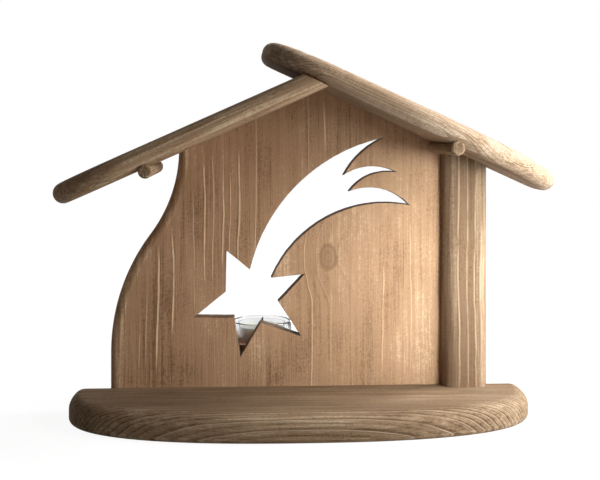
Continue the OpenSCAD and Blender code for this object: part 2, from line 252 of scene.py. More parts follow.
def smooth_range(tree, value, low, high, to_low=0.0, to_high=1.0):
    node = tree.nodes.new("ShaderNodeMapRange")
    node.interpolation_type = "SMOOTHSTEP"
    set_inputs(node, From_Min=low, From_Max=high, To_Min=to_low, To_Max=to_high)
    wire(tree, value, node.inputs["Value"])
    return node.outputs["Result"]


def parts_of(tree, vector):
    node = tree.nodes.new("ShaderNodeSeparateXYZ")
    wire(tree, vector, node.inputs[0])
    return node.outputs


# %% The wood group
KNOT_TALL = 1.5
SAW_SLANT = 0.35
# The near-black colour of the sawn comet faces stands for saw burn and painted shade inside the cut.
BURNT_COLOUR = (0.03, 0.018, 0.01, 1)


def brushed_wood_group():
    tree = bpy.data.node_groups.new("brushed wood", "ShaderNodeTree")
    add_sockets(tree, "INPUT", "Vector", "Grain Space")
    add_sockets(tree, "INPUT", "Float", Ring_Width=0.004, Ring_Share=0.5, Pith_Across=0.06, Pith_Deep=0.09,
                Wander=0.002, Pale_Rings=0.6, Dark_Rings=0.4, Fibre=1.0, Saw_Marks=0.3, Pits=0.3, Blotch=0.8,
                Raised=0.0, Knot_Along=9.0, Knot_Across=9.0, Knot_Size=0.001, Uneven=2.2, Rubbed=0.0,
                Burnt=0.0, Seed=0.0)
    add_sockets(tree, "INPUT", "Color", "Stain", "Dark", "Pale")
    add_sockets(tree, "OUTPUT", "Color", "Colour")
    add_sockets(tree, "OUTPUT", "Float", "Roughness", "Height")
    given = tree.nodes.new("NodeGroupInput").outputs
    made = tree.nodes.new("NodeGroupOutput").inputs
    calc, smooth, blend = (partial(helper, tree) for helper in (math_node, smooth_range, mix_colour))

    def product(*values):
        return reduce(partial(calc, "MULTIPLY"), values)

    def length(a, b):
        return calc("SQRT", calc("ADD", product(a, a), product(b, b)))

    def swing(value, amount):
        """A noise value as plus or minus, times an amount."""
        return product(calc("SUBTRACT", value, 0.5), amount)

    def layered(total, *layers):
        """Adds layers to a total, each times its share."""
        for layer, share in layers:
            total = calc("MULTIPLY_ADD", layer, share, total)
        return total

    seed = tree.nodes.new("ShaderNodeCombineXYZ")
    wire(tree, given["Seed"], seed.inputs[0])
    moved = tree.nodes.new("ShaderNodeVectorMath")
    wire(tree, given["Grain Space"], moved.inputs[0])
    wire(tree, seed.outputs[0], moved.inputs[1])
    place = moved.outputs[0]
    grain = partial(grain_noise, tree, place)
    along, across, deep = parts_of(tree, given["Grain Space"])

    # A knot pushes the rings aside and has its own small rings and a ragged edge
    knot_a = calc("DIVIDE", calc("SUBTRACT", along, given["Knot Along"]), KNOT_TALL)
    knot_b = calc("SUBTRACT", across, given["Knot Across"])
    ragged = swing(noise_node(tree, place, 160.0, 3.0), 0.003)
    away = calc("DIVIDE", calc("ADD", length(knot_a, knot_b), ragged), given["Knot Size"])
    pushed = smooth(away, 4.2, 0.6)
    in_knot = smooth(away, 1.12, 0.85)
    core = smooth(calc("FRACT", product(away, 2.1)), 0.2, 0.9)
    rim = product(smooth(away, 0.72, 0.98), smooth(away, 1.24, 1.0))

    # The log's rings: distance from the pith, bent by slow waves along the trunk, and of uneven width
    radius = length(calc("SUBTRACT", across, given["Pith Across"]), calc("SUBTRACT", deep, given["Pith Deep"]))
    radius = calc("ADD", radius, product(swing(grain(4.0, 12.0, 1.0), 4.0), given["Wander"]))
    radius = calc("ADD", radius, swing(grain(22.0, 150.0), 0.0006))
    radius = calc("MULTIPLY_ADD", product(pushed, given["Knot Size"]), 1.5, radius)
    rings = calc("DIVIDE", radius, given["Ring Width"])
    uneven = tree.nodes.new("ShaderNodeTexNoise")
    uneven.noise_dimensions = "1D"
    set_inputs(uneven, Scale=0.37, Detail=1.0)
    wire(tree, calc("ADD", rings, given["Seed"]), uneven.inputs["W"])
    rings = calc("ADD", rings, swing(uneven.outputs["Fac"], given["Uneven"]))
    phase = calc("FRACT", rings)
    chance = tree.nodes.new("ShaderNodeTexWhiteNoise")
    chance.noise_dimensions = "1D"
    wire(tree, calc("ADD", calc("FLOOR", rings), given["Seed"]), chance.inputs["W"])
    luck = chance.outputs["Value"]

    # Hard late wood: a thin pale ridge at the end of some rings, with soft, darker wood before it
    ridge = product(smooth(phase, 0.74, 0.84), smooth(phase, 0.97, 0.9))
    soft = product(smooth(phase, 0.3, 0.7), smooth(phase, 0.84, 0.74))
    shown = smooth(calc("ADD", luck, given["Ring Share"]), 0.95, 1.15)
    breaks = smooth(grain(7.0, 70.0), 0.36, 0.52)
    pale = calc("MAXIMUM", product(ridge, shown, breaks, given["Pale Rings"]), given["Raised"])
    dark = product(soft, given["Dark Rings"], calc("MULTIPLY_ADD", luck, 0.6, 0.4))

    # Fibres, saw marks, pits, rubbed edges, clouds of stain, and the near-black sawn faces: saw burn and
    # painted shade
    fibre = grain(26.0, 1100.0, 4.0, 0.62)
    coarse = grain(10.0, 330.0, 3.0, 0.6)
    grit = grain(420.0, 1300.0, 3.0, 0.7)
    marks = grain(850.0, 260.0, 3.0, 0.62, SAW_SLANT)
    rough = noise_node(tree, place, 650.0, 3.0, 0.65)
    patchy = grain(19.0, 45.0)
    cloud = product(swing(grain(11.0, 24.0, 3.0, 0.55), 1.3), given["Blotch"])
    streak = calc("ADD", calc("ADD", swing(fibre, 0.9), swing(coarse, 0.9)), swing(grit, 0.9))
    scraped = calc("ADD", swing(marks, 1.7), swing(rough, 1.7))
    scraped = product(scraped, given["Saw Marks"], smooth(patchy, 0.3, 0.6, 0.35, 1.0))
    pits = product(smooth(grain(240.0, 900.0), 0.56, 0.7), smooth(patchy, 0.4, 0.62), given["Pits"])
    rubbed = product(given["Rubbed"], smooth(coarse, 0.35, 0.6))
    # The sawn faces are painted near black: saw burn and painted shade inside the cut.
    burnt = product(given["Burnt"], smooth(rough, 0.35, 0.6, 0.55, 0.95))

    # How pale the stain is, from 0 to 1 and a little beyond, and how high the surface stands
    level = layered(calc("MULTIPLY_ADD", streak, given["Fibre"], 0.5), (scraped, 1.0), (cloud, 1.0),
                    (pits, -0.5), (dark, -0.55), (rubbed, 0.3))
    height = layered(0.0, (fibre, 0.5), (coarse, 0.6), (scraped, 0.5), (pale, 0.8), (pits, -0.5),
                     (dark, -0.35))
    stained = blend(smooth(level, 0.0, 0.5), given["Dark"], given["Stain"])
    stained = blend(smooth(level, 0.5, 1.1), stained, given["Pale"])
    stained = blend(pale, stained, given["Pale"])
    knot_wood = blend(calc("MULTIPLY_ADD", core, 0.25, 0.5), given["Stain"], given["Dark"])
    stained = blend(product(in_knot, 0.7), stained, knot_wood)
    stained = blend(product(rim, 0.4), stained, given["Dark"])
    wire(tree, blend(burnt, stained, BURNT_COLOUR), made["Colour"])
    wire(tree, calc("MULTIPLY_ADD", level, -0.16, 0.8), made["Roughness"])
    wire(tree, height, made["Height"])
    return tree


def raised_line_group():
    """One hard, pale line of a board at a place across the grain, between two places along it."""
    tree = bpy.data.node_groups.new("raised line", "ShaderNodeTree")
    add_sockets(tree, "INPUT", "Vector", "Grain Space")
    add_sockets(tree, "INPUT", "Float", Across=0.0, Bottom=0.0, Top=0.1, Width=0.0007, Strength=1.0)
    add_sockets(tree, "OUTPUT", "Float", "Mask")
    given = tree.nodes.new("NodeGroupInput").outputs
    calc, smooth = partial(math_node, tree), partial(smooth_range, tree)
    place = given["Grain Space"]
    along, across, _ = parts_of(tree, place)
    wave = calc("SUBTRACT", grain_noise(tree, place, 14.0, 30.0), 0.5)
    away = calc("SUBTRACT", calc("MULTIPLY_ADD", wave, 0.006, across), given["Across"])
    mask = smooth(calc("DIVIDE", calc("ABSOLUTE", away), given["Width"]), 1.2, 0.3)
    for near, far in ((along, given["Bottom"]), (given["Top"], along)):
        mask = calc("MULTIPLY", mask, smooth(calc("SUBTRACT", near, far), 0, 0.02))
    broken = smooth(grain_noise(tree, place, 60.0, 200.0, 3.0, 0.6), 0.3, 0.55, 0.35, 1.0)
    mask = calc("MULTIPLY", calc("MULTIPLY", mask, broken), given["Strength"])
    wire(tree, mask, tree.nodes.new("NodeGroupOutput").inputs["Mask"])
    return tree


BRUSHED_WOOD = brushed_wood_group()
RAISED_LINE = raised_line_group()
print("wood group inputs:", len([s for s in BRUSHED_WOOD.interface.items_tree if s.in_out == "INPUT"]))

# %% A board's material
MM = 0.001
SHEEN = 0.1
RELIEF, RELIEF_STRENGTH = 0.7 * MM, 0.8


def wood_material(name, colours, tone=1.0, turn=(0, 0, 0), lines=(), **values):
    """A board's wood. turn brings the object's axes to the grain's: x runs along the fibres, y across them.
    lines are single raised lines: place across, bottom, top, half width in millimetres, and strength."""
    material = bpy.data.materials.new(name)
    material.use_nodes = True
    tree = material.node_tree
    shader = tree.nodes["Principled BSDF"]
    set_inputs(shader, Specular_IOR_Level=SHEEN)
    turned = tree.nodes.new("ShaderNodeMapping")
    set_inputs(turned, Rotation=turn)
    wire(tree, tree.nodes.new("ShaderNodeTexCoord").outputs["Object"], turned.inputs["Vector"])
    wood = tree.nodes.new("ShaderNodeGroup")
    wood.node_tree = BRUSHED_WOOD
    wire(tree, turned.outputs[0], wood.inputs["Grain Space"])
    set_inputs(wood, **values)
    for socket, colour in zip(("Stain", "Dark", "Pale"), colours):
        wood.inputs[socket].default_value = (*(c * tone for c in colour), 1)
    raised = None
    for across, bottom, top, width, strength in lines:
        line = tree.nodes.new("ShaderNodeGroup")
        line.node_tree = RAISED_LINE
        wire(tree, turned.outputs[0], line.inputs["Grain Space"])
        set_inputs(line, Across=across * MM, Bottom=bottom * MM, Top=top * MM, Width=width * MM,
                   Strength=strength)
        raised = math_node(tree, "MAXIMUM", raised, line.outputs[0]) if raised else line.outputs[0]
    if raised:
        wire(tree, raised, wood.inputs["Raised"])
    # Rubbed edges turn paler, and the sawn faces are painted dark for saw burn and painted shade.
    for wear in ("rubbed", "burnt"):
        marked = tree.nodes.new("ShaderNodeAttribute")
        marked.attribute_name = wear
        wire(tree, marked.outputs["Fac"], wood.inputs[wear.capitalize()])
    bumped = tree.nodes.new("ShaderNodeBump")
    set_inputs(bumped, Strength=RELIEF_STRENGTH, Distance=RELIEF)
    wire(tree, wood.outputs["Height"], bumped.inputs["Height"])
    wire(tree, wood.outputs["Colour"], shader.inputs["Base Color"])
    wire(tree, wood.outputs["Roughness"], shader.inputs["Roughness"])
    wire(tree, bumped.outputs[0], shader.inputs["Normal"])
    return material


# %% [markdown]
# Each board has its own grain. A board's pith lies outside it, on the side that its ring lines curve round,
# and the shares, widths and the knot come from what the board shows. Three sets of colours, each for the
# stain, its dark parts and its pale parts, serve all the boards, and each board has its own tone of one.

# %% Woods of the boards
UPRIGHT = (QUARTER, 0, QUARTER)
LEFT_PITCH, RIGHT_PITCH = math.radians(24), math.radians(24.5)
STAINED = ((0.34, 0.2, 0.116), (0.165, 0.088, 0.045), (0.61, 0.43, 0.28))
GREYER = ((0.34, 0.219, 0.132), (0.165, 0.098, 0.053), (0.6, 0.45, 0.31))
PALER = ((0.345, 0.234, 0.154), (0.17, 0.108, 0.064), (0.62, 0.485, 0.365))
WALL_LINES = ((-122, 24, 78, 0.6, 0.4), (-117, 30, 95, 0.6, 0.5), (-108.8, 28, 132, 0.9, 1.0),
              (-97.4, 55, 146, 0.9, 1.0), (-81.4, 70, 175, 0.6, 0.45), (-73, 95, 203, 0.8, 0.9),
              (-66.1, 95, 205, 0.6, 0.6), (-58.5, 108, 188, 0.8, 0.85), (-53.1, 110, 190, 0.6, 0.6),
              (-46.2, 104, 206, 0.8, 0.85), (19.9, 196, 244, 0.8, 0.8), (64, 25, 120, 0.7, 0.5),
              (86, 25, 150, 0.7, 0.4))
POST_LINES = ((121.6, 10, 230, 0.9, 1.0), (128.2, 10, 230, 0.7, 0.85), (134, 10, 230, 0.9, 1.0),
              (139.3, 10, 150, 1.4, 0.8), (141.5, 60, 230, 1.2, 0.9))

base_wood = wood_material(
    "base_wood", GREYER, 0.67, Ring_Width=0.0023, Ring_Share=0.9, Pith_Across=0.16, Pith_Deep=0.11,
    Wander=0.003, Uneven=0.6, Pale_Rings=0.75, Dark_Rings=1.1, Fibre=1.1, Saw_Marks=0.15, Pits=0.5, Seed=3.0)
wall_wood = wood_material(
    "wall_wood", STAINED, 1.25, UPRIGHT, WALL_LINES, Ring_Width=0.0065, Ring_Share=0.2, Pith_Across=-0.0125,
    Pith_Deep=0.069, Pale_Rings=0.4, Dark_Rings=0.25, Fibre=0.65, Saw_Marks=0.28, Pits=0.25, Blotch=0.9,
    Knot_Along=0.119, Knot_Across=0.0225, Knot_Size=0.0065, Seed=11.0)
post_wood = wood_material(
    "post_wood", STAINED, 0.56, UPRIGHT, POST_LINES, Ring_Width=0.006, Ring_Share=0.0, Pith_Across=0.4,
    Pith_Deep=0.0, Wander=0.0006, Dark_Rings=0.3, Fibre=0.45, Saw_Marks=0.35, Pits=0.6, Blotch=0.5, Seed=21.0)
left_roof_wood = wood_material(
    "left_roof_wood", GREYER, 0.92, (0, LEFT_PITCH, 0), Ring_Width=0.002, Pith_Across=-0.06, Pith_Deep=0.2,
    Pale_Rings=0.35, Dark_Rings=0.5, Fibre=0.9, Pits=0.6, Seed=31.0)
right_roof_wood = wood_material(
    "right_roof_wood", PALER, 0.99, (0, -RIGHT_PITCH, 0), Ring_Width=0.0014, Pith_Across=-0.03, Pith_Deep=0.25,
    Pale_Rings=0.35, Dark_Rings=0.85, Fibre=0.8, Pits=0.6, Seed=41.0)
stick_wood = wood_material(
    "stick_wood", GREYER, 0.82, (0, 0, -QUARTER), Ring_Width=0.0014, Pith_Across=0.1, Pith_Deep=0.185,
    Wander=0.0003, Pale_Rings=0.5, Dark_Rings=0.8, Seed=51.0)
print("wood materials:", len([m for m in bpy.data.materials if m.name.endswith("_wood")]))

# %% [markdown]
# ## Shapes of the boards
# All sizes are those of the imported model, written in millimetres and turned into metres in one place.

# %% Sizes that the boards share
BASE_W, BASE_D, BASE_T = 346, 88.4, 20
WALL_FRONT, WALL_T, WALL_W = BASE_D / 2, 14, 289
WALL_BACK = WALL_FRONT + WALL_T
RIDGE_X, RIDGE_Z = 16.1, 247.1
ROOF_T, ROOF_FRONT = 15, WALL_FRONT - 92


def roof_underside(x):
    """How high the roof boards' undersides lie at x."""
    return RIDGE_Z - abs(x - RIDGE_X) * math.tan(LEFT_PITCH if x < RIDGE_X else RIGHT_PITCH)


def on_slope(pitch):
    """Turns a level shape by a roof board's pitch and brings its origin to the ridge."""
    return Matrix.Translation((RIDGE_X, 0, RIDGE_Z)) @ Matrix.Rotation(pitch, 4, "Y")


# %% Helpers for outlines and skins
def arc_points(centre, radius, start, stop, steps):
    """Points on an arc between two angles in degrees, with both ends."""
    angles = [math.radians(start + (stop - start) * i / steps) for i in range(steps + 1)]
    return [(centre[0] + radius * math.cos(a), centre[1] + radius * math.sin(a)) for a in angles]


def ring_points(centre, radius, count):
    return arc_points(centre, radius, 0, 360, count)[:-1]


def round_steps(radius, count):
    """How far in, and how far up, the points of a quarter round lie, from its side to its flat."""
    return [(radius * (1 - math.cos(QUARTER * i / count)), radius * math.sin(QUARTER * i / count))
            for i in range(count + 1)]


def eased_loops(loop, low, high, foot_r, foot_steps, edge_r, edge_steps):
    """Loops of an outline from a board's underside to its top, with both edges rounded."""
    foot = [loop(inset, low + foot_r - up) for inset, up in reversed(round_steps(foot_r, foot_steps))]
    return foot + [loop(inset, high - edge_r + up) for inset, up in round_steps(edge_r, edge_steps)]


def skinned(bm, loops):
    """Adds loops of points, with faces between each and the next. A loop of one point closes an end."""
    rows = [[bm.verts.new(p) for p in loop] for loop in loops]
    for a, b in zip(rows, rows[1:]):
        count = max(len(a), len(b))
        for i in range(count):
            j = (i + 1) % count
            corners = (a[i % len(a)], a[j % len(a)], b[j % len(b)], b[i % len(b)])
            bm.faces.new(list(dict.fromkeys(corners)))
    return rows


def lofted(loops):
    """A closed skin over loops of points that have the same number of points."""
    bm = bmesh.new()
    rows = skinned(bm, loops)
    bm.faces.new(rows[0][::-1])
    bm.faces.new(rows[-1])
    return bm


def cut_off(bm, point, normal):
    """Cuts away what lies beyond a plane and closes the cut."""
    bmesh.ops.bisect_plane(bm, geom=bm.verts[:] + bm.edges[:] + bm.faces[:], plane_co=point, plane_no=normal,
                           clear_outer=True)
    bmesh.ops.holes_fill(bm, edges=[e for e in bm.edges if e.is_boundary])


# %% Helpers for pieces
SHARP_ANGLE = math.radians(35)
WELD_MM = 0.001
RUBBED_WIDTH, RUBBED_BEND = 3 * MM, math.radians(16)
LEVEL = 0.9999
FLAT_WEIGHT = 80


def mark_rubbed_edges(mesh):
    """Writes for each narrow face of a rounded edge how much it bends away from its neighbours, 0 to 1."""
    along_edges = {}
    for face in mesh.polygons:
        for key in face.edge_keys:
            along_edges.setdefault(key, []).append(face)
    values = []
    for face in mesh.polygons:
        sides = [(mesh.vertices[a].co - mesh.vertices[b].co).length for a, b in face.edge_keys]
        narrow = face.area / max(sides) < RUBBED_WIDTH and max(abs(v) for v in face.normal) < LEVEL
        neighbours = [other for key in face.edge_keys for other in along_edges[key]]
        bend = max((face.normal.angle(other.normal, 0) for other in neighbours), default=0)
        values.append(min(1.0, bend / RUBBED_BEND) if narrow else 0.0)
    mesh.attributes.new("rubbed", "FLOAT", "FACE").data.foreach_set("value", values)


def piece_from(bm, name, material, body, *nodes, slot):
    """Turns a bmesh in millimetres into a smooth-shaded piece that stands for CAD nodes and rides on a body.
    Edges over the sharp angle are kept crisp."""
    bmesh.ops.remove_doubles(bm, verts=bm.verts, dist=WELD_MM)
    bmesh.ops.recalc_face_normals(bm, faces=bm.faces)
    bmesh.ops.scale(bm, vec=(MM, MM, MM), verts=bm.verts)
    mesh = bpy.data.meshes.new(name)
    bm.to_mesh(mesh)
    bm.free()
    mesh.shade_smooth()
    mesh.set_sharp_from_angle(angle=SHARP_ANGLE)
    mark_rubbed_edges(mesh)
    # A board out of the Geometry Nodes tree has material number 1 on its faces, and clear() makes it 0
    mesh.materials.clear()
    mesh.materials.append(material)
    piece = bpy.data.objects.new(name, mesh)
    bpy.context.collection.objects.link(piece)
    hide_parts(*nodes)
    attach(piece, body)
    print(f"{name}: {len(mesh.polygons)} faces")
    return piece


def even_shading(piece):
    """Large flat faces keep their own normal, so that rounded edges don't shade across them."""
    weighted = piece.modifiers.new("even shading", "WEIGHTED_NORMAL")
    weighted.keep_sharp = True
    weighted.weight = FLAT_WEIGHT


# %% [markdown]
# ### Roof boards
# The roof boards are flat boards whose edge is a half circle all round. A half circle swept along the
# outline and two flat faces make such a board, so a small Geometry Nodes tree does it for both: it takes
# the outline as a loop of edges and has the thickness and the wood as inputs.

# %% Geometry Nodes tree for a rounded board
EDGE_POINTS, SEAM = 17, 0.01 * MM


def rounded_board_tree():
    tree = bpy.data.node_groups.new("rounded board", "GeometryNodeTree")
    add_sockets(tree, "INPUT", "Geometry", "Outline")
    add_sockets(tree, "INPUT", "Float", "Thickness")
    add_sockets(tree, "INPUT", "Material", "Wood")
    add_sockets(tree, "OUTPUT", "Geometry", "Board")
    new, link = tree.nodes.new, tree.links.new
    given, made = new("NodeGroupInput").outputs, new("NodeGroupOutput").inputs
    half = math_node(tree, "MULTIPLY", given["Thickness"], 0.5)

    loop = new("GeometryNodeMeshToCurve")
    link(given["Outline"], loop.inputs["Mesh"])
    upright = new("GeometryNodeSetCurveNormal")
    upright.mode = "Z_UP"
    link(loop.outputs[0], upright.inputs["Curve"])
    edge = new("GeometryNodeCurveArc")
    set_inputs(edge, Resolution=EDGE_POINTS, Start_Angle=-QUARTER, Sweep_Angle=math.pi)
    link(half, edge.inputs["Radius"])
    sweep = new("GeometryNodeCurveToMesh")
    link(upright.outputs[0], sweep.inputs["Curve"])
    link(edge.outputs[0], sweep.inputs["Profile Curve"])

    flat = new("GeometryNodeFillCurve")
    flat.mode = "NGONS"
    link(loop.outputs[0], flat.inputs[0])
    both = new("GeometryNodeJoinGeometry")
    link(sweep.outputs[0], both.inputs[0])
    for side in (1, -1):
        lift = new("ShaderNodeCombineXYZ")
        link(math_node(tree, "MULTIPLY", half, side), lift.inputs["Z"])
        face = new("GeometryNodeTransform")
        link(flat.outputs[0], face.inputs["Geometry"])
        link(lift.outputs[0], face.inputs["Translation"])
        link(face.outputs[0], both.inputs[0])
    closed = new("GeometryNodeMergeByDistance")
    set_inputs(closed, Distance=SEAM)
    link(both.outputs[0], closed.inputs["Geometry"])
    real = new("GeometryNodeRealizeInstances")
    link(closed.outputs[0], real.inputs[0])
    coat = new("GeometryNodeSetMaterial")
    link(real.outputs[0], coat.inputs["Geometry"])
    link(given["Wood"], coat.inputs["Material"])
    link(coat.outputs[0], made["Board"])
    return tree


ROUNDED_BOARD = rounded_board_tree()


def rounded_board(name, outline, thickness, wood):
    """Runs the tree on an outline in millimetres, already smaller by half the thickness, and returns a
    bmesh in millimetres whose middle plane is z = 0."""
    count = len(outline)
    mesh = bpy.data.meshes.new(name + "_outline")
    edges = [(i, (i + 1) % count) for i in range(count)]
    mesh.from_pydata([(x * MM, y * MM, 0) for x, y in outline], edges, [])
    host = bpy.data.objects.new(name + "_outline", mesh)
    bpy.context.collection.objects.link(host)
    board = host.modifiers.new("rounded board", "NODES")
    board.node_group = ROUNDED_BOARD
    values = {"Thickness": thickness * MM, "Wood": wood}
    for item in ROUNDED_BOARD.interface.items_tree:
        if item.in_out == "INPUT" and item.name in values:
            board[item.identifier] = values[item.name]
    bpy.context.view_layer.update()
    made = bpy.data.meshes.new_from_object(host.evaluated_get(bpy.context.evaluated_depsgraph_get()))
    host.modifiers.clear()
    bm = bmesh.new()
    bm.from_mesh(made)
    bmesh.ops.scale(bm, vec=(1 / MM,) * 3, verts=bm.verts)
    bpy.data.objects.remove(host)
    bpy.data.meshes.remove(mesh)
    bpy.data.meshes.remove(made)
    return bm


# %% Roof boards
BACK_CORNER = (15, 15)
FRONT_STEPS, BACK_STEPS = 40, 12


def roof_outline(x0, x1, corner0, corner1):
    """A board whose front corners are quarter ellipses and whose back corners are small and round."""
    inset = ROOF_T / 2
    corners = ((x0, 1, ROOF_FRONT, 1, corner0, FRONT_STEPS),
               (x1, -1, ROOF_FRONT, 1, corner1, FRONT_STEPS),
               (x1, -1, WALL_BACK, -1, BACK_CORNER, BACK_STEPS),
               (x0, 1, WALL_BACK, -1, BACK_CORNER, BACK_STEPS))
    points = []
    for (x, side, y, inward, (wide, deep), steps), start in zip(corners, (180, 270, 0, 90)):
        points += [(x + side * wide + (wide - inset) * across, y + inward * deep + (deep - inset) * along)
                   for across, along in arc_points((0, 0), 1, start, start + 90, steps)]
    return points


def roof_board(side, pitch, outline, wood):
    """A flat board stood on its slope, its underside through the ridge. The left one ends under the right."""
    bm = rounded_board("roof_" + side, outline, ROOF_T, wood)
    bmesh.ops.transform(bm, matrix=on_slope(pitch) @ Matrix.Translation((0, 0, ROOF_T / 2)), verts=bm.verts)
    if side == "left":
        cut_off(bm, (RIDGE_X, 0, RIDGE_Z), Matrix.Rotation(RIGHT_PITCH, 3, "Y") @ Vector((0, 0, 1)))
    even_shading(piece_from(bm, "roof_" + side, wood, "stable", "roof_board_" + side, slot="roof_wood"))


roof_board("left", -LEFT_PITCH, roof_outline(-210.5, 52.5, (60, 50), (54, 48)), left_roof_wood)
roof_board("right", RIGHT_PITCH, roof_outline(-52.5, 190, (54, 48), (120, 80)), right_roof_wood)

# %% [markdown]
# ### Base board
# The base is a half-round board whose upper edge is rounded wide and whose lower edge is only eased. Its
# outline is a squared ellipse. Loops of that outline, each a little smaller, are stacked along both rounds
# and skinned, and the back is cut off where it meets the wall.

# %% Base board
BASE_EDGE_R, BASE_FOOT_R, BASE_WIDE_Y, BASE_SQUARE = 10, 4, 8.5, 2.45
BASE_POINTS, BASE_EDGE_STEPS, BASE_FOOT_STEPS = 240, 12, 7


def base_loop(inset, z):
    """The outline at one height, widest a little in front of the back edge."""
    half_w, half_d = BASE_W / 2 - inset, BASE_D - BASE_WIDE_Y - inset
    squared = [[math.copysign(abs(v) ** (2 / BASE_SQUARE), v) for v in point]
               for point in ring_points((0, 0), 1, BASE_POINTS)]
    return [(half_w * across, WALL_FRONT - BASE_WIDE_Y + half_d * deep, z) for across, deep in squared]


bm = lofted(eased_loops(base_loop, 0, BASE_T, BASE_FOOT_R, BASE_FOOT_STEPS, BASE_EDGE_R, BASE_EDGE_STEPS))
cut_off(bm, (0, WALL_FRONT, 0), (0, 1, 0))
even_shading(piece_from(bm, "base", base_wood, "stable", "base_board", slot="base_wood"))

# %% [markdown]
# ### The wall
# The wall is a flat panel with a hole of many corners, so neither a sweep nor a plain face makes it. Its
# front and back faces are filled between the outline and the comet by a constrained triangulation, and
# rings of points round off the edges: wide along the wavy left edge, and hardly at all on the sawn comet,
# whose faces are painted dark for saw burn and painted shade inside the cut.

# %% Outline of the wall
BELLY_R, BELLY_Z, WAIST_R, WAIST_X = 150, 46.6, 110, 92.4
WAVE_STEPS = 24


def wall_outline():
    """The wavy left edge from its foot up to the roof, and the rest over the gable and down the right edge."""
    belly_x, waist_cx = BELLY_R - WALL_W / 2, -WAIST_X - WAIST_R
    turn_x = belly_x - waist_cx
    turn_z = math.sqrt((BELLY_R + WAIST_R) ** 2 - turn_x ** 2)
    turn = math.degrees(math.atan2(turn_z, turn_x))
    left = [(-WALL_W / 2, 0)] + arc_points((belly_x, BELLY_Z), BELLY_R, 180, 180 - turn, WAVE_STEPS)
    left += arc_points((waist_cx, BELLY_Z + turn_z), WAIST_R, -turn, 0, WAVE_STEPS)[1:]
    left = [p for p in left if p[1] < roof_underside(p[0]) - 1]
    left.append((left[-1][0], roof_underside(left[-1][0])))
    return left, [(RIDGE_X, RIDGE_Z), (WALL_W / 2, roof_underside(WALL_W / 2)), (WALL_W / 2, 0)]


# %% Outline of the comet
STAR_X, STAR_Z, STAR_R, STAR_CORNER_R, TAIL = -36.3, 88.7, 45, 20.5, 157
STAR_ARMS = ((23, 0.96), (-39, 1.06), (-101, 1.02), (-161, 1.02), (-241, 0.9))
STAR_CORNERS = (44, -11, -71, -131, -191, -266)
TAIL_POINTS = ((0.634, 0.774), (0.449, 0.593), (0.703, 0.611), (0.476, 0.513), (0.772, 0.448))
TAIL_RADII = (0.856, -0.415, 0.258, -0.237, 0.27, -0.612)
TAIL_STEPS = 16


def arc_between(p, q, radius):
    """Points from p towards q, without q, on an arc whose centre is to the right for a radius above zero."""
    half = (q - p) / 2
    side = Vector((half.y, -half.x)).normalized()
    centre = p + half + side * math.copysign(math.sqrt(radius ** 2 - half.length ** 2), radius)
    turn = -2 * math.asin(half.length / radius)
    return [centre + Matrix.Rotation(turn * i / TAIL_STEPS, 2) @ (p - centre) for i in range(TAIL_STEPS)]


def comet_outline():
    """The star's arms, each after the corner before it, and then the tail's points with their curved edges."""
    polar = lambda r, a: Vector((r * math.cos(math.radians(a)), r * math.sin(math.radians(a))))
    points = []
    for (angle, share), corner in zip(STAR_ARMS, STAR_CORNERS):
        points += [polar(STAR_CORNER_R, corner), polar(STAR_R * share, angle)]
    stops = [polar(STAR_CORNER_R, STAR_CORNERS[-1])] + [Vector(p) * TAIL for p in TAIL_POINTS] + [points[0]]
    for p, q, share in zip(stops, stops[1:], TAIL_RADII):
        points += arc_between(p, q, TAIL * share)
    return [(p.x + STAR_X, p.y + STAR_Z) for p in points]


def along_straights(points, longest):
    """Adds points on long straight stretches, so that the sawn edge can waver."""
    out = []
    for p, q in zip(points, points[1:] + points[:1]):
        steps = max(1, round(math.dist(p, q) / longest))
        out += [(p[0] + (q[0] - p[0]) * i / steps, p[1] + (q[1] - p[1]) * i / steps) for i in range(steps)]
    return out


# %% Rings round both outlines
FRONT_ROUND, BACK_ROUND, SAW_ROUND = 8, 2.0, 0.4
FRONT_RINGS, BACK_RINGS = 8, 6
SAW_STEP, TIP_TURN, TIP_CLEAR = 1.5, 0.5, 2.6
NICK_DEEP, NICK_SCALE, NICK_SEED = 0.22, 0.55, 4.0
NEARLY_STRAIGHT = 0.2

left_edge, rest_edge = wall_outline()
outline = (left_edge + rest_edge)[::-1]
wavy = [p in left_edge and q in left_edge for p, q in zip(outline, outline[1:] + outline[:1])]
sawn = comet_outline()
tips = [p for o, p, q in zip(sawn[-1:] + sawn, sawn, sawn[1:] + sawn[:1])
        if (Vector(p) - Vector(o)).angle(Vector(q) - Vector(p)) > TIP_TURN]
comet = [p for p in along_straights(sawn, SAW_STEP)
         if min(math.dist(p, tip) for tip in tips) > TIP_CLEAR or p in tips]
if sum(p[0] * q[1] - q[0] * p[1] for p, q in zip(comet, comet[1:] + comet[:1])) > 0:
    comet.reverse()
saw_nicks = [NICK_DEEP * noise.noise(Vector((x * NICK_SCALE, z * NICK_SCALE, NICK_SEED))) for x, z in comet]
print(f"wall: {len(outline)} outline points, comet: {len(comet)} points")


def moved_in(points, amounts):
    """A closed loop whose edges have moved to their left, each by its own amount."""
    out = []
    for i, p in enumerate(points):
        here = Vector(p)
        before, after = here - Vector(points[i - 1]), Vector(points[(i + 1) % len(points)]) - here
        n1, n2 = (Vector((-v.y, v.x)).normalized() for v in (before, after))
        a1, a2 = amounts[i - 1], amounts[i]
        turn = n1.x * n2.y - n1.y * n2.x
        if abs(turn) < NEARLY_STRAIGHT:
            out.append(tuple(here + (n1 + n2).normalized() * (a1 + a2) / 2))
        else:
            out.append((here.x + (a1 * n2.y - a2 * n1.y) / turn, here.y + (a2 * n1.x - a1 * n2.x) / turn))
    return out


